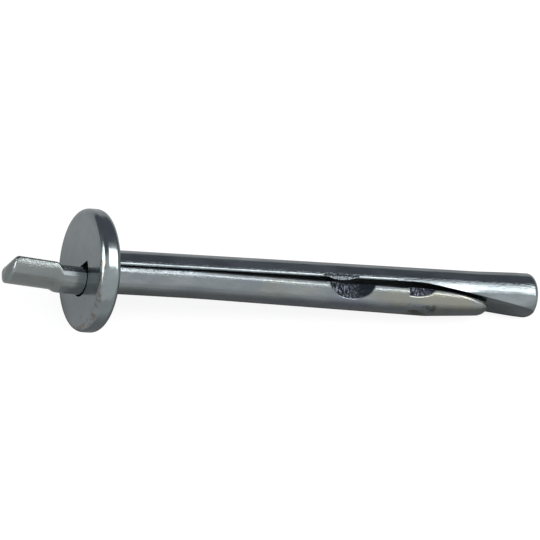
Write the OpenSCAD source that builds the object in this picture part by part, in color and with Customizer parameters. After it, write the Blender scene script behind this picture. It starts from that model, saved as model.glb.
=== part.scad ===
// Wedge anchor: a round-headed split shank with a D-shaped drive pin beside it.
// The anchor is modelled along +X from the underside of its head, with its solid half
// on +Y and the pin on -Y. It is then laid down on its head's rim and its tip, rolled a
// little to the pin's side, because that side is the heavier one.

/* [Shank] */
// Length of the shank below the head
shank_length = 65; // [62:0.5:70]
// Radius of the shank and of the pin, half the drilled hole's size
shank_radius = 3; // [2.9:0.01:3.05]
// Height of the shank's flat above the centre line
flat_offset = 0.08; // [0.05:0.01:0.2]
// Radius of the long corners of the shank
shank_corner = 0.3; // [0.2:0.05:0.5]
// Radius of the swollen tip
tip_radius = 3.14; // [3.05:0.01:3.2]
// Length over which the tip swells and stays swollen
tip_swell = 8.5; // [6:0.5:10]
// Rounding of the tip's end edge
tip_round = 0.9; // [0.5:0.1:1.2]

/* [Ramp] */
// Slope of the ramp that drives the pin outwards, in degrees
ramp_angle = 9.1; // [8:0.1:10]
// Distance from the tip's end to where the ramp's line crosses the flat
ramp_length = 17.7; // [15:0.1:19]
// Length of the curve that leads from the flat into the ramp
ramp_blend = 4; // [2:0.5:6]

/* [Head] */
// Radius of the round head
head_radius = 8.44; // [8:0.02:9]
// Thickness of the head
head_thick = 2.96; // [2.6:0.02:3.2]
// Rounding of the head's front and rear edges
head_round = 1; // [0.6:0.05:1.2]
// Gap between the pin and the round side of the hole in the head
hole_gap = 0.15; // [0.12:0.01:0.25]
// How far the hole's round side is set off towards the pin's side
hole_offset = 0.52; // [0.5:0.01:0.6]
// Height of the hole's flat side above the shank's flat
hole_clear = 0.04; // [0:0.01:0.1]
// Height that the hole's flat side gains at the front face
hole_lead = 0.24; // [0.2:0.01:0.4]

/* [Pin] */
// Distance that the pin's drive end stands in front of the head
pin_stand = 10.9; // [8:0.01:11]
// Distance from the tip's end back to the pin's nose
pin_short = 7.3; // [6.5:0.1:9]
// Drop of the pin's flat below its own centre line
pin_flat_drop = 0.06; // [0.04:0.01:0.2]
// Radius of the pin's long corners
pin_corner = 0.45; // [0.3:0.05:0.6]
// Distance below the head at which the pin starts to lean outwards
lean_start = 12; // [12:0.5:18]
// Outward lean of the pin's front part, in degrees
lean_angle = 1.12; // [0.8:0.02:1.2]
// Length of the bend between the straight bar and the leaning part
lean_bend = 5; // [2:0.5:8]
// Length of the nose, where the flat side curves down and the round side tapers
nose_length = 9; // [8:0.1:10]
// How far the flat side has come down at the nose's end
nose_drop = 1; // [0.8:0.02:1.12]
// Radius at the end of the nose's cone
nose_radius = 2.45; // [2.3:0.05:2.6]
// Length of the nose's rounded end
nose_round = 1.8; // [1:0.1:3]
// Radius that the rounded end takes off the nose
nose_close = 0.85; // [0.3:0.05:0.9]

/* [Drive end] */
// Upward slope of the drive end, in degrees
drive_angle = 4.5; // [3:0.1:4.6]
// Upward slope of the neck between the head and the drive end, in degrees
neck_angle = 3.1; // [2.5:0.1:3.5]
// Drop of the neck's centre line at the head's front face
neck_drop = 0.43; // [0.3:0.01:0.45]
// Length of the neck in front of the head
neck_length = 3.4; // [3:0.1:4]
// Length of the step between the neck and the drive end
step_length = 1; // [0.8:0.1:1.4]
// Rise of the step between the neck and the drive end
step_rise = 0.4; // [0.3:0.01:0.42]
// Radius of the neck's long corners, which the press leaves rounder than the bar's
neck_corner = 1.15; // [0.6:0.05:1.15]
// How much higher the neck's flat stands over its own centre line than the bar's
neck_rise = 0.28; // [0:0.01:0.3]
// Height of the crown on the end that is struck
crown = 0.55; // [0.1:0.05:0.6]
// Radius of the edge round the end that is struck
end_edge = 0.4; // [0.2:0.05:0.5]
// Slant of the face that is struck, which reaches furthest at its lower edge, in degrees
end_slant = 15; // [5:1:18]

/* [Bites] */
// Distance below the head to the middle of the deep bite
bite_place = 36.4; // [35:0.1:38]
// Depth of the deep bite
bite_depth = 1.03; // [0.8:0.01:1.1]
// Radius of the punch that made the deep bite
bite_radius = 6.8; // [5:0.05:7]
// Distance below the head to the start of the shallow bite
nick_place = 45; // [44:0.1:46]
// Distance from the start of the shallow bite to where it is deepest
nick_lead = 1; // [0.5:0.1:2]
// Depth of the shallow bite
nick_depth = 0.4; // [0.3:0.01:0.42]
// Radius of the punch that made the shallow bite
nick_radius = 16; // [12:1:20]
// Distance below the head to the middle of the staked lug on the shank
lug_place = 34.8; // [34:0.1:36]
// Length of the staked lug
lug_length = 4.4; // [3:0.1:5]
// Depth of the staked lug
lug_depth = 0.38; // [0.2:0.01:0.4]
// Width of the staked lug
lug_width = 1.1; // [0.8:0.1:1.4]

/* [Hidden] */

// Overlap that joins solids, and the margin by which a cutter runs past what it cuts
join = 0.02;
past = 1;
// Facets of curves in the drawing, and steps of the ramp's curve
curve_facets = 96;
blend_steps = 8;
// Steps round the pin and its corners, and along its bends, its nose and its bar
ring_steps = 30;
corner_steps = 4;
bend_steps = 4;
nose_steps = 7;
bar_steps = 8;
// Largest share of the pin's thickness that a corner's radius takes
corner_share = 0.4;
// Sizes of the rings of the struck end's face, from its middle outwards
crown_shares = [0.3, 0.6, 0.85, 1];
// Turns of the rings round the struck end's edge, in degrees
edge_turns = [25, 50, 70, 90];
// Angle at which a long corner's rounding crosses the round side, in degrees
corner_cross = 12;

// Distances along the shank
pin_nose = shank_length - pin_short;
nose_start = pin_nose - nose_length;
nose_cone_end = pin_nose - nose_round;
pin_end = -head_thick - pin_stand;
neck_front = -head_thick - neck_length;
drive_start = neck_front - step_length;
throat_front = -head_thick * 0.6;
throat_rear = 1;
neck_top = neck_length * tan(neck_angle) - neck_drop;

// The anchor lies on the rear edge of its head and on its tip
lie_run = shank_length - tip_round + head_round;
lie_rise = head_radius - head_round - tip_radius + tip_round;
lie_angle = atan2(lie_rise, lie_run) + asin((head_round - tip_round) / norm([lie_run, lie_rise]));
lie_height = (head_radius - head_round) * cos(lie_angle) - head_round * sin(lie_angle) + head_round;

// Roll about its own axis at which the anchor comes to rest, pin side down, in degrees
rest_roll = 15;

// Middle of the laid anchor between its drive end and its tip
reach_tip = (shank_length - tip_round) * cos(lie_angle) + (tip_radius - tip_round) * sin(lie_angle)
    + tip_round;
reach_drive = pin_end * cos(lie_angle);
middle_x = (reach_tip + reach_drive) / 2;

$fn = curve_facets;

// Turns a profile drawn in Y and Z into a bar that starts at x and runs along +X
module bar(x, length) {
    translate([x, 0, 0])
        rotate([90, 0, 90])
            linear_extrude(length)
                children();
}

// A bar drawn as a profile of distance along X and height along Y, as wide as width
module side_slab(width) {
    linear_extrude(width, center = true)
        children();
}

// Points of an arc about a centre between two angles, in equal steps
function arc(centre, radius, from, to, steps) = [
    for (i = [0 : steps])
        let (a = from + (to - from) * i / steps)
            centre + radius * [cos(a), sin(a)]
];

// Middle of the arc that rounds a long corner of the half-round profile
function corner_middle(radius, flat, corner) =
    [flat - corner, sqrt(pow(radius - corner, 2) - pow(flat - corner, 2))];

// Half-round profile whose flat side faces +Y at the height flat, with rounded corners
module d_profile(radius, flat, corner) {
    middle = corner_middle(radius, flat, corner);
    turn = atan2(middle[1], middle[0]) - corner_cross;
    rounding = arc(middle, corner, 0, turn, corner_steps);
    outer = middle + corner * [cos(turn), sin(turn)] + radius * [-sin(turn), cos(turn)];
    upper = concat(rounding, [outer]);
    lower = [
        for (i = [len(upper) - 1 : -1 : 0])
            [upper[i][0], -upper[i][1]]
    ];
    intersection() {
        circle(radius);
        polygon(concat(upper, [[-2 * radius, 2 * radius], [-2 * radius, -2 * radius]], lower));
    }
}

// Outline of the half-round profile as points in Y and Z
function d_points(radius, flat, corner) =
    let (
        middle = corner_middle(radius, flat, corner),
        touch = atan2(middle[1], middle[0]),
        first = touch / corner_steps
    )
    concat(
        arc([0, 0], radius, touch, 360 - touch, ring_steps),
        arc([middle[0], -middle[1]], corner, 360 - touch + first, 360, corner_steps - 1),
        arc(middle, corner, 0, touch - first, corner_steps - 1)
    );

// Lays the anchor down on its head's rim and its tip, over the middle of its length
module laid() {
    translate([-middle_x, 0, lie_height])
        rotate([0, lie_angle, 0])
            rotate([rest_roll, 0, 0])
                children();
}

module head() {
    rotate([0, 90, 0])
        translate([0, 0, -head_thick])
            rotate_extrude() {
                square([head_radius - head_round, head_thick]);
                translate([0, head_round])
                    square([head_radius, head_thick - 2 * head_round]);
                for (y = [head_round, head_thick - head_round])
                    translate([head_radius - head_round, y])
                        circle(head_round);
            }
}

// Round bar of the tip, from the start of the ramp's curve to the end
module tip_bar() {
    start = shank_length - ramp_length - ramp_blend;
    rotate([0, 90, 0])
        rotate_extrude() {
            polygon([
                [0, start],
                [shank_radius, start],
                [shank_radius, shank_length - tip_swell],
                [tip_radius, shank_length - tip_swell / 3],
                [tip_radius, shank_length - tip_round],
                [tip_radius - tip_round, shank_length - tip_round],
                [tip_radius - tip_round, shank_length],
                [0, shank_length]
            ]);
            translate([tip_radius - tip_round, shank_length - tip_round])
                circle(tip_round);
        }
}

// Everything below the curve and the ramp
module ramp_cutter() {
    corner_x = shank_length - ramp_length;
    curve = [
        for (i = [0 : blend_steps])
            let (t = i / blend_steps)
                [
                    corner_x - ramp_blend / 2 + ramp_blend * t,
                    flat_offset - tan(ramp_angle) * ramp_blend / 2 * t * t
                ]
    ];
    far_x = shank_length + past;
    side_slab(4 * shank_radius)
        polygon(concat(
            [[corner_x - ramp_blend - past, flat_offset]],
            curve,
            [[far_x, flat_offset - tan(ramp_angle) * (far_x - corner_x)]],
            [[far_x, -2 * shank_radius], [corner_x - ramp_blend - past, -2 * shank_radius]]
        ));
}

// Lug that staking pushed down from the shank's flat at one side
module lug() {
    lug_radius = (pow(lug_length / 2, 2) + pow(lug_depth, 2)) / (2 * lug_depth);
    intersection() {
        translate([lug_place, flat_offset - lug_depth + lug_radius, shank_radius - lug_width])
            cylinder(h = lug_width, r = lug_radius);
        rotate([0, 90, 0])
            cylinder(h = shank_length, r = shank_radius);
        translate([lug_place - lug_length, -shank_radius, 0])
            cube([2 * lug_length, shank_radius + flat_offset + shank_corner, shank_radius]);
    }
}

// Passage for the pin through the head, with a flat side that opens towards the front
module head_hole() {
    lead_angle = atan(hole_lead / head_thick);
    length = head_thick + 2 * past;
    intersection() {
        translate([-head_thick - past, -hole_offset, 0])
            rotate([0, 90, 0])
                cylinder(h = head_thick + past + join, r = shank_radius + hole_gap);
        translate([0, flat_offset + hole_clear, 0])
            rotate([0, 0, -lead_angle])
                translate([-2 * length, -4 * shank_radius, -2 * shank_radius])
                    cube([3 * length, 4 * shank_radius, 4 * shank_radius]);
    }
}

module anchor_body() {
    color("silver")
        laid() {
            difference() {
                union() {
                    head();
                    mirror([0, 1, 0])
                        bar(-head_thick / 2, shank_length - ramp_length - ramp_blend + head_thick / 2 + join)
                            d_profile(shank_radius, -flat_offset, shank_corner);
                }
                head_hole();
            }
            difference() {
                tip_bar();
                ramp_cutter();
            }
            lug();
            mirror([0, 0, 1])
                lug();
        }
}

// Smooth step from 0 to 1
function ease(t) = t * t * (3 - 2 * t);

// Height of the pin's centre line at x: drive end, step, neck, throat, straight bar, lean
function pin_height(x) =
    x < drive_start ? neck_top + step_rise + (drive_start - x) * tan(drive_angle)
    : x < neck_front ? neck_top + step_rise * ease((neck_front - x) / step_length)
    : x < throat_front ? neck_height(x)
    : x < throat_rear
        ? neck_height(throat_front) * ease((throat_rear - x) / (throat_rear - throat_front))
    : x < lean_start ? 0
    : x < lean_start + lean_bend ? -tan(lean_angle) * pow(x - lean_start, 2) / (2 * lean_bend)
    : -tan(lean_angle) * (x - lean_start - lean_bend / 2);

function neck_height(x) = -neck_drop - (x + head_thick) * tan(neck_angle);

// Radius of the pin's round side at x, with a cone and a rounded end at the nose
function pin_radius(x) =
    x < nose_start ? shank_radius
    : x < nose_cone_end
        ? shank_radius - (shank_radius - nose_radius) * (x - nose_start) / (nose_cone_end - nose_start)
    : nose_radius - nose_close * (1 - sqrt(1 - pow((x - nose_cone_end) / nose_round, 2)));

// Share of the neck's own form at x, which comes over the step and goes in the throat
function neck_share(x) =
    x < drive_start ? 0
    : x < neck_front ? ease((x - drive_start) / step_length)
    : x < throat_front ? 1
    : x < throat_rear ? ease((throat_rear - x) / (throat_rear - throat_front))
    : 0;

// Height of the pin's flat above its centre line at x
function pin_flat(x) =
    -pin_flat_drop + neck_rise * neck_share(x) - nose_drop * pow(max(0, x - nose_start) / nose_length, 2);

// Radius of the pin's long corners at x
function long_corner(x) = pin_corner + (neck_corner - pin_corner) * neck_share(x);

// Points of the pin's outline at x, drawn at a smaller scale about its middle
function ring(x, scale = 1) =
    let (
        radius = pin_radius(x),
        flat = pin_flat(x),
        corner = min(long_corner(x), (radius + flat) * corner_share)
    )
    [
        for (p = d_points(radius, flat, corner))
            [x, pin_height(x) + (p[0] - flat + radius / 2) * scale + flat - radius / 2, p[1] * scale]
    ];

// Ring of the slanted struck end, drawn at a smaller scale and moved along by shift
function end_ring(scale, shift) = [
    for (p = ring(pin_end, scale))
        p + [(p[1] - pin_height(pin_end) + shank_radius) * tan(end_slant) + shift, 0, 0]
];

// Rings of the struck end, over its crowned face and round its edge
function end_rings() =
    let (edge_share = end_edge / shank_radius)
    concat(
        [for (share = crown_shares) end_ring((1 - edge_share) * share, -crown * (1 - share * share))],
        [for (turn = edge_turns) end_ring(1 - edge_share * (1 - sin(turn)), end_edge * (1 - cos(turn)))]
    );

// Equal steps between two places along the pin
function places(from, to, steps) = [for (i = [1 : steps]) from + (to - from) * i / steps];

// Surface through a row of rings with equal numbers of points, closed at both ends
module sweep(rings) {
    count = len(rings[0]);
    last = (len(rings) - 1) * count;
    sides = [
        for (r = [0 : len(rings) - 2], i = [0 : count - 1])
            let (
                next = (i + 1) % count,
                near = r * count,
                far = near + count
            )
                [near + i, far + i, far + next, near + next]
    ];
    rear_cap = [for (i = [0 : count - 1]) i];
    front_cap = [for (i = [count - 1 : -1 : 0]) last + i];
    polyhedron(
        [for (r = rings) each r],
        concat([rear_cap], sides, [front_cap])
    );
}

module pin_bar() {
    stations = concat(
        [drive_start],
        places(drive_start, neck_front, bend_steps),
        [throat_front],
        places(throat_front, throat_rear, bend_steps),
        [lean_start],
        places(lean_start, lean_start + lean_bend, bend_steps),
        places(lean_start + lean_bend, nose_start, bar_steps),
        places(nose_start, nose_cone_end, nose_steps),
        [for (i = [1 : bend_steps]) nose_cone_end + nose_round * sin(90 * i / bend_steps)]
    );
    sweep(concat(end_rings(), [for (x = stations) ring(x)]));
}

// Punched bites at one side of the pin
module bites() {
    translate([bite_place, 0, shank_radius - bite_depth + bite_radius])
        rotate([90, 0, 0])
            cylinder(h = 4 * shank_radius, r = bite_radius, center = true);
    intersection() {
        translate([nick_place + nick_lead, 0, shank_radius - nick_depth + nick_radius])
            rotate([90, 0, 0])
                cylinder(h = 4 * shank_radius, r = nick_radius, center = true, $fn = 4 * curve_facets);
        translate([nick_place, -2 * shank_radius, 0])
            cube([nick_radius, 4 * shank_radius, 2 * shank_radius]);
    }
}

module wedge_pin() {
    color("lightsteelblue")
        laid()
            difference() {
                pin_bar();
                bites();
                mirror([0, 0, 1])
                    bites();
            }
}

anchor_body();
wedge_pin();
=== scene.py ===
import math

import bpy
from mathutils import Matrix, Vector

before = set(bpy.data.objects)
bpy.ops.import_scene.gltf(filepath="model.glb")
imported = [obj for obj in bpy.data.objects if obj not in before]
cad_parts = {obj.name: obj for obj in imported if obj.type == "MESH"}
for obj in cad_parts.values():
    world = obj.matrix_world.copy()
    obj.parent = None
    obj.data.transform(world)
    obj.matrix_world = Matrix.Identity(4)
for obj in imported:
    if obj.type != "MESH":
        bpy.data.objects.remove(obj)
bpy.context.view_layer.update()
print("frame loaded")

# the anchor's own axes as it lies: X down its length from the head's rear face,
# Y towards its solid half, Z out of its near side
lay = {
    "dip": math.radians(4.654657558),
    "roll": math.radians(15),
    "place": Vector((-0.025578040, 0, 0.008334313)),
}
laid = (
    Matrix.Translation(lay["place"])
    @ Matrix.Rotation(lay["dip"], 4, "Y")
    @ Matrix.Rotation(lay["roll"], 4, "X")
)
mm = 0.001


camera = {
    "place": (-0.305927, -0.482879, 0.725705),
    "turn": (0.9428908, 0.2871941, -0.1626441, -0.0449819),
    "lens": 445.44,
    "sensor": 36,
    "clip": (0.05, 20),
}


def addCamera():
    data = bpy.data.cameras.new("camera")
    data.lens = camera["lens"]
    data.sensor_width = camera["sensor"]
    data.clip_start, data.clip_end = camera["clip"]
    eye = bpy.data.objects.new("camera", data)
    eye.location = camera["place"]
    eye.rotation_mode = "QUATERNION"
    eye.rotation_quaternion = camera["turn"]
    bpy.context.scene.collection.objects.link(eye)
    bpy.context.scene.camera = eye


def addMix(nodes):
    # a mix node keeps its colour sockets at fixed places, behind those for numbers
    node = nodes.new("ShaderNodeMix")
    node.data_type = "RGBA"
    return node.inputs["Factor"], node.inputs[6], node.inputs[7], node.outputs[2]


def addStep(nodes, low, high, start=0, end=1):
    # rises smoothly from start at low to end at high
    node = nodes.new("ShaderNodeMapRange")
    node.interpolation_type = "SMOOTHSTEP"
    node.inputs["From Min"].default_value = low
    node.inputs["From Max"].default_value = high
    node.inputs["To Min"].default_value = start
    node.inputs["To Max"].default_value = end
    return node.inputs["Value"], node.outputs["Result"]


class finishNodes:
    # short ways to add the nodes that the finishes share; axes turns them to a piece's own axes
    def __init__(self, name, axes=None):
        self.material = bpy.data.materials.new(name)
        self.material.use_nodes = True
        self.nodes = self.material.node_tree.nodes
        self.links = self.material.node_tree.links
        self.nodes.clear()
        out = self.nodes.new("ShaderNodeOutputMaterial")
        self.skin = self.nodes.new("ShaderNodeBsdfPrincipled")
        self.links.new(self.skin.outputs["BSDF"], out.inputs["Surface"])
        back = (axes or Matrix.Identity(4)).inverted()
        coords = self.nodes.new("ShaderNodeTexCoord")
        own = self.nodes.new("ShaderNodeMapping")
        own.inputs["Location"].default_value = back.translation
        own.inputs["Rotation"].default_value = back.to_euler("XYZ")
        self.links.new(coords.outputs["Object"], own.inputs["Vector"])
        self.own = own.outputs["Vector"]
        split = self.nodes.new("ShaderNodeSeparateXYZ")
        self.links.new(self.own, split.inputs["Vector"])
        self.x, self.y, self.z = (split.outputs[a] for a in "XYZ")

    def feed(self, value, socket):
        if isinstance(value, (int, float)):
            socket.default_value = value
        elif isinstance(value, tuple):
            socket.default_value = (*value, 1)
        else:
            self.links.new(value, socket)

    def math(self, operation, *values):
        node = self.nodes.new("ShaderNodeMath")
        node.operation = operation
        for value, socket in zip(values, node.inputs):
            self.feed(value, socket)
        return node.outputs["Value"]

    def distance(self, a, b):
        squares = self.math("ADD", self.math("MULTIPLY", a, a), self.math("MULTIPLY", b, b))
        return self.math("SQRT", squares)

    def noise(self, waves, detail=3, roughness=0.55, shift=0):
        # waves is how many there are in a metre along the anchor's own X, Y and Z
        mapping = self.nodes.new("ShaderNodeMapping")
        mapping.inputs["Scale"].default_value = waves
        mapping.inputs["Location"].default_value = (shift, shift, shift)
        self.links.new(self.own, mapping.inputs["Vector"])
        node = self.nodes.new("ShaderNodeTexNoise")
        node.inputs["Scale"].default_value = 1
        node.inputs["Detail"].default_value = detail
        node.inputs["Roughness"].default_value = roughness
        self.links.new(mapping.outputs["Vector"], node.inputs["Vector"])
        return node.outputs["Fac"]

    def step(self, value, low, high, start=0, end=1):
        source, result = addStep(self.nodes, low, high, start, end)
        self.links.new(value, source)
        return result

    def band(self, value, low, high, soft):
        # 1 between low and high, fading to 0 over soft on both sides
        rise = self.step(value, low - soft, low)
        fall = self.step(value, high, high + soft, 1, 0)
        return self.both(rise, fall)

    def both(self, *masks):
        result = masks[0]
        for mask in masks[1:]:
            result = self.math("MULTIPLY", result, mask)
        return result

    def mix(self, amount, a, b):
        factor, first, second, mixed = addMix(self.nodes)
        self.feed(amount, factor)
        self.feed(a, first)
        self.feed(b, second)
        return mixed

    def bump(self, height, depth, under=None):
        node = self.nodes.new("ShaderNodeBump")
        node.inputs["Distance"].default_value = depth
        self.links.new(height, node.inputs["Height"])
        if under is not None:
            self.links.new(under, node.inputs["Normal"])
        return node.outputs["Normal"]


# patterns that both pieces' zinc has
zinc = {
    "lines": {"waves": (50, 2600, 2600)},
    "grain": {"waves": (2200, 4200, 4200), "roughness": 0.7, "shift": 2},
    "polish": {"waves": (400, 900, 900), "detail": 4, "shift": 1},
    "polishRange": (0.3, 0.7),
    "cloudRange": (0.35, 0.65),
}

# a place is where a band starts and ends and how softly, or where a step starts and ends
bodyZinc = {
    "pale": (0.325, 0.365, 0.38),
    "deep": (0.24, 0.275, 0.29),
    "face": (0.27, 0.31, 0.32),
    "faceShare": 0.7,
    "stain": (0.2, 0.155, 0.115),
    "worn": (0.12, 0.14, 0.15),
    "roughness": (0.13, 0.24),
    "clouds": {"waves": (160, 420, 420), "detail": 5},
    "headEnd": (-0.3 * mm, 0.1 * mm),
    "rim": (7.69 * mm, 8.24 * mm, 0.2 * mm),
    "rimFront": (-2.5 * mm, -2.1 * mm),
    "rimSide": (-1 * mm, 1 * mm),
    "rust": {"waves": (1500, 1500, 1500), "detail": 5, "roughness": 0.62, "shift": 3},
    "rustRange": (0.44, 0.6),
    "rustShare": 0.7,
    "frontFace": (-2.95 * mm, -2.85 * mm),
    "specks": {"waves": (700, 520, 900), "roughness": 0.6, "shift": 9},
    "speckRange": (0.63, 0.72),
    "speckShare": 0.55,
    "lug": (32.4 * mm, 37.2 * mm, 0.3 * mm),
    "lugTop": (0.2 * mm, 0.45 * mm),
    "scuffs": {"waves": (2600, 3000, 3000), "roughness": 0.7, "shift": 6},
    "scuffRange": (0.42, 0.56),
    "stamp": {"waves": (300, 220, 2400), "detail": 4, "shift": 5},
    "corner": (-0.22 * mm, 0.68 * mm, 0.6 * mm),
    "drawLines": 0.004 * mm,
    "edgeGrain": 0.06 * mm,
    "lugGrain": 0.16 * mm,
}


def bodyFinish():
    look = bodyZinc
    g = finishNodes("bodyZinc", laid)
    radius = g.distance(g.y, g.z)
    head = g.step(g.x, *look["headEnd"], 1, 0)
    shank = g.math("SUBTRACT", 1, head)

    cloud = g.step(g.noise(**look["clouds"]), *zinc["cloudRange"])
    colour = g.mix(cloud, look["deep"], look["pale"])
    colour = g.mix(g.math("MULTIPLY", head, look["faceShare"]), colour, look["face"])
    rim = g.both(
        head,
        g.band(radius, *look["rim"]),
        g.step(g.x, *look["rimFront"], 1, 0),
        g.step(g.y, *look["rimSide"], 1, 0),
    )
    rust = g.both(rim, g.step(g.noise(**look["rust"]), *look["rustRange"]))
    colour = g.mix(g.math("MULTIPLY", rust, look["rustShare"]), colour, look["stain"])
    face = g.step(g.x, *look["frontFace"], 1, 0)
    specks = g.both(face, g.step(g.noise(**look["specks"]), *look["speckRange"]))
    colour = g.mix(g.math("MULTIPLY", specks, look["speckShare"]), colour, look["stain"])
    lug = g.both(g.band(g.x, *look["lug"]), g.step(g.y, *look["lugTop"], 1, 0))
    scuffs = g.noise(**look["scuffs"])
    colour = g.mix(g.both(lug, g.step(scuffs, *look["scuffRange"], 1, 0)), colour, look["worn"])
    g.links.new(colour, g.skin.inputs["Base Color"])

    rough = g.step(g.noise(**zinc["polish"]), *zinc["polishRange"], *look["roughness"])
    g.links.new(rough, g.skin.inputs["Roughness"])

    edge = g.both(shank, g.band(g.y, *look["corner"]))
    normal = g.bump(g.both(g.noise(**zinc["lines"]), shank), look["drawLines"])
    normal = g.bump(g.both(g.noise(**look["stamp"]), head), look["drawLines"], normal)
    normal = g.bump(g.both(g.noise(**zinc["grain"]), edge), look["edgeGrain"], normal)
    normal = g.bump(g.both(scuffs, lug), look["lugGrain"], normal)
    g.links.new(normal, g.skin.inputs["Normal"])
    g.skin.inputs["Metallic"].default_value = 1
    return g.material


pinZinc = {
    "pale": (0.305, 0.335, 0.35),
    "deep": (0.235, 0.265, 0.28),
    "olive": (0.29, 0.3, 0.26),
    "blue": (0.245, 0.27, 0.325),
    # painted shade for the drive end
    "struck": (0.21, 0.235, 0.225),
    "tan": (0.32, 0.32, 0.27),
    "smear": (0.1, 0.1, 0.075),
    # painted shade for the bites' cut walls
    "biteShade": (0.012, 0.015, 0.02),
    # painted shade along the pin's long corner
    "dullAndShade": (0.1, 0.11, 0.115),
    "roughness": (0.16, 0.3),
    "radius": 3 * mm,
    "lean": math.tan(math.radians(1.12)),
    "leanStart": 14.5 * mm,
    "slant": math.tan(math.radians(15)),
    "clouds": {"waves": (160, 500, 500), "detail": 5},
    "tints": {"waves": (110, 260, 260), "shift": 7},
    "oliveRange": (0.5, 0.62),
    "blueRange": (0.38, 0.5),
    "tintGrowth": (18 * mm, 34 * mm, 0.3, 0.9),
    "mottle": {"waves": (700, 1300, 1300), "detail": 4, "roughness": 0.65, "shift": 11},
    "mottleDeep": (0.53, 0.66, 0, 0.45),
    "mottlePale": (0.36, 0.45, 0.3, 0),
    "tanPlace": ((48 * mm, 54 * mm, 2 * mm), (-2 * mm, -0.9 * mm, 0.6 * mm)),
    "tanShare": 0.7,
    "smearPlace": ((45.5 * mm, 49 * mm, 0.7 * mm), (-3.1 * mm, -2.4 * mm, 0.3 * mm)),
    "smears": {"waves": (600, 900, 900), "shift": 8},
    "smearRange": (0.42, 0.54),
    "smearShare": 0.8,
    "struckEdge": (-13.25 * mm, -12.85 * mm, 0.05 * mm),
    "struckEnd": (-6.6 * mm, -5.8 * mm),
    "struckShare": 0.6,
    "dullPlace": ((17 * mm, 52 * mm, 5 * mm), (-0.78 * mm, -0.6 * mm)),
    "dullShadeShare": 0.75,
    "dullRoughness": 0.15,
    "bites": ((32.6 * mm, 40.2 * mm), (44.9 * mm, 49 * mm)),
    "biteSoft": 0.05 * mm,
    "biteSide": (1.2 * mm, 1.5 * mm),
    "biteDepth": (0.12 * mm, 0.03 * mm),
    "streaks": {"waves": (5200, 1500, 1500), "detail": 4, "roughness": 0.75, "shift": 4},
    "streakRange": (0.49, 0.62),
    "streaksEnd": (35.6 * mm, 38.5 * mm),
    "streaksReturn": (41 * mm, 42 * mm),
    "corner": (-0.8 * mm, 0.1 * mm, 0.6 * mm),
    "drawLines": 0.005 * mm,
    "edgeGrain": 0.05 * mm,
    "biteGrain": 0.12 * mm,
}


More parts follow.
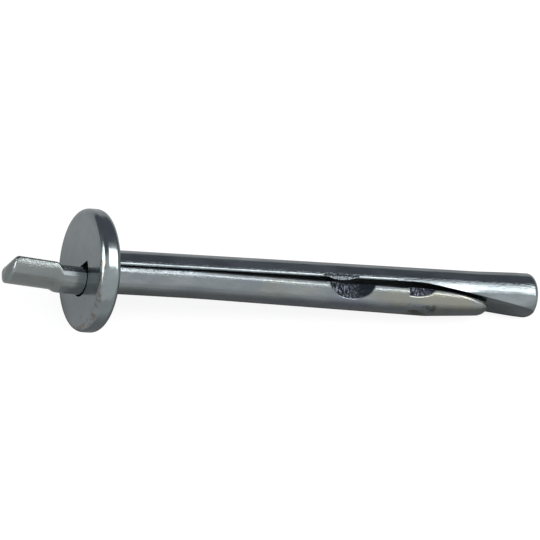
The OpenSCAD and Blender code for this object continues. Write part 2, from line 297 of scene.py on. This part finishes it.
def pinFinish():
    look = pinZinc
    g = finishNodes("pinZinc", laid)
    # height above the pin's own centre line, which leans away below the head
    past = g.math("SUBTRACT", g.x, look["leanStart"])
    drop = g.math("MAXIMUM", g.math("MULTIPLY", past, look["lean"]), 0)
    height = g.math("ADD", g.y, drop)
    radius = g.distance(height, g.z)

    (deepStart, deepEnd), (nickStart, nickEnd) = look["bites"]
    inBite = g.math(
        "ADD",
        g.band(g.x, deepStart, deepEnd, look["biteSoft"]),
        g.band(g.x, nickStart, nickEnd, look["biteSoft"]),
    )
    side = g.step(g.math("ABSOLUTE", g.z), *look["biteSide"])
    wall = (look["radius"] - depth for depth in look["biteDepth"])
    cut = g.both(inBite, side, g.step(radius, *wall, 1, 0))

    tint = g.noise(**look["tints"])
    cloud = g.step(g.noise(**look["clouds"]), *zinc["cloudRange"])
    colour = g.mix(cloud, look["deep"], look["pale"])
    tinted = g.step(g.x, *look["tintGrowth"])
    colour = g.mix(g.both(tinted, g.step(tint, *look["oliveRange"])), colour, look["olive"])
    colour = g.mix(g.both(tinted, g.step(tint, *look["blueRange"], 1, 0)), colour, look["blue"])
    mottle = g.noise(**look["mottle"])
    colour = g.mix(g.step(mottle, *look["mottleDeep"]), colour, look["deep"])
    colour = g.mix(g.step(mottle, *look["mottlePale"]), colour, look["pale"])
    along, across = look["tanPlace"]
    tan = g.both(g.band(g.x, *along), g.band(height, *across))
    colour = g.mix(g.math("MULTIPLY", tan, look["tanShare"]), colour, look["tan"])
    along, across = look["smearPlace"]
    patch = g.both(g.band(g.x, *along), g.band(height, *across))
    smear = g.both(patch, g.step(g.noise(**look["smears"]), *look["smearRange"]))
    colour = g.mix(g.math("MULTIPLY", smear, look["smearShare"]), colour, look["smear"])
    # the slanted face lies at one depth from the end, and its rounded edge just behind it
    depth = g.math("SUBTRACT", g.x, g.math("MULTIPLY", g.y, look["slant"]))
    edge = g.band(depth, *look["struckEdge"])
    # painted shade: the drive end and its slanted face are darkened to dim their highlight, all
    # but the face's rounded edge, which keeps the lighter zinc
    struck = g.both(g.step(g.x, *look["struckEnd"], 1, 0), g.math("SUBTRACT", 1, edge))
    colour = g.mix(g.math("MULTIPLY", struck, look["struckShare"]), colour, look["struck"])
    # the long corner is rougher than the round side below it, and its darker colour is painted
    # shade that dims the highlight along it
    along, above = look["dullPlace"]
    dullAndShade = g.both(g.band(g.x, *along), g.step(height, *above))
    colour = g.mix(g.math("MULTIPLY", dullAndShade, look["dullShadeShare"]), colour, look["dullAndShade"])
    # the bites' cut walls get painted shade, a near black colour, with zinc streaks through it;
    # the streaks fade towards the deep bite's tip side, where the painted shade is unbroken, and
    # return in the shallow bite
    streak = g.noise(**look["streaks"])
    streaked = g.mix(g.step(streak, *look["streakRange"]), look["biteShade"], look["blue"])
    biteShade = g.mix(g.step(g.x, *look["streaksEnd"]), streaked, look["biteShade"])
    biteShade = g.mix(g.step(g.x, *look["streaksReturn"]), biteShade, streaked)
    colour = g.mix(cut, colour, biteShade)
    g.links.new(colour, g.skin.inputs["Base Color"])

    rough = g.step(g.noise(**zinc["polish"]), *zinc["polishRange"], *look["roughness"])
    rough = g.math("ADD", rough, g.math("MULTIPLY", dullAndShade, look["dullRoughness"]))
    g.links.new(rough, g.skin.inputs["Roughness"])

    corner = g.band(height, *look["corner"])
    normal = g.bump(g.noise(**zinc["lines"]), look["drawLines"])
    normal = g.bump(g.both(g.noise(**zinc["grain"]), corner), look["edgeGrain"], normal)
    normal = g.bump(g.both(streak, cut), look["biteGrain"], normal)
    g.links.new(normal, g.skin.inputs["Normal"])
    g.skin.inputs["Metallic"].default_value = 1
    return g.material


def dress(node, material):
    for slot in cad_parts[node].material_slots:
        slot.material = material


floor = {
    "half": 3,
    "colour": (0.22, 0.22, 0.22),
    "glow": 0.86,          # what the camera sees on top of the floor's own light
    "mirrored": 0.34,      # what the metal sees on top of it, away from the anchor
    # painted shadow: around the anchor the floor's glow for the metal is taken away, so the metal
    # mirrors a darker floor there
    "paintedShadow": ((-28 * mm, 42 * mm, 3 * mm), (-8 * mm, 6 * mm, 22 * mm)),
}


def addFloor():
    bpy.ops.object.select_all(action="DESELECT")
    bpy.ops.mesh.primitive_plane_add(size=2 * floor["half"], location=(0, 0, 0))
    plane = bpy.context.object
    plane.name = "floor"
    g = finishNodes("floorPaper")
    g.skin.inputs["Base Color"].default_value = (*floor["colour"], 1)
    g.skin.inputs["Roughness"].default_value = 1
    g.skin.inputs["Specular IOR Level"].default_value = 0
    # painted shadow: the glow that the metal sees is taken away around the anchor
    along, aside = floor["paintedShadow"]
    paintedShadow = g.both(g.band(g.x, *along), g.band(g.y, *aside))
    clear = g.math("SUBTRACT", floor["mirrored"], g.math("MULTIPLY", paintedShadow, floor["mirrored"]))
    path = g.nodes.new("ShaderNodeLightPath")
    seen = g.math("MULTIPLY", path.outputs["Is Camera Ray"], floor["glow"])
    mirrored = g.both(path.outputs["Is Glossy Ray"], clear)
    g.skin.inputs["Emission Color"].default_value = (1, 1, 1, 1)
    g.links.new(g.math("ADD", seen, mirrored), g.skin.inputs["Emission Strength"])
    plane.data.materials.append(g.material)


# lean is towards the tip and round is towards the solid half, both in degrees from the near
# side; distance, width and height are in metres
overhead = {"lean": 30, "round": 7.5, "distance": 0.6, "width": 0.42, "height": 0.33, "level": 4.4}
leftPanel = {"lean": -68, "round": 20, "distance": 0.6, "width": 0.45, "height": 0.3, "level": 5}


def addPanel(name, panel):
    lean, turn = math.radians(panel["lean"]), math.radians(panel["round"])
    reach = math.cos(lean)
    outward = Vector((math.sin(lean), reach * math.sin(turn), reach * math.cos(turn)))
    across = Vector((0, math.cos(turn), -math.sin(turn)))
    axes = laid.to_3x3() @ Matrix((across.cross(outward), across, outward)).transposed()
    data = bpy.data.lights.new(name, "AREA")
    data.shape = "RECTANGLE"
    data.size = panel["width"]
    data.size_y = panel["height"]
    data.energy = panel["level"] * math.pi * panel["width"] * panel["height"]
    lamp = bpy.data.objects.new(name, data)
    lamp.matrix_world = axes.to_4x4() @ Matrix.Translation((0, 0, panel["distance"]))
    bpy.context.scene.collection.objects.link(lamp)


room = {
    "front": 0.85,  # level of the wall that the camera stands before
    "back": 0.17,   # level of the dark wall behind the anchor
    "frontTint": (1, 1, 1),
    "backTint": (0.93, 0.98, 1.12),
    "change": (0.12, -0.3),  # where one turns into the other, from behind to the front
}


def wallColour(side):
    return (*(room[side] * part for part in room[side + "Tint"]), 1)


def addWorld():
    world = bpy.data.worlds.new("studio")
    world.use_nodes = True
    nodes, links = world.node_tree.nodes, world.node_tree.links
    nodes.clear()
    out = nodes.new("ShaderNodeOutputWorld")
    air = nodes.new("ShaderNodeBackground")
    coords = nodes.new("ShaderNodeTexCoord")
    split = nodes.new("ShaderNodeSeparateXYZ")
    path = nodes.new("ShaderNodeLightPath")
    place, turned = addStep(nodes, *room["change"])
    share, back, front, walls = addMix(nodes)
    isSeen, mirrored, seen, shown = addMix(nodes)
    back.default_value = wallColour("back")
    front.default_value = wallColour("front")
    seen.default_value = (1, 1, 1, 1)
    links.new(coords.outputs["Generated"], split.inputs["Vector"])
    links.new(split.outputs["Y"], place)
    links.new(turned, share)
    links.new(walls, mirrored)
    links.new(path.outputs["Is Camera Ray"], isSeen)
    links.new(shown, air.inputs["Color"])
    links.new(air.outputs["Background"], out.inputs["Surface"])
    bpy.context.scene.world = world


addCamera()
addWorld()
addFloor()
addPanel("overhead", overhead)
addPanel("leftPanel", leftPanel)
print("stage set")

dress("anchor_body", bodyFinish())
dress("wedge_pin", pinFinish())
print("zinc on both pieces")

bpy.context.scene.view_settings.view_transform = "Standard"
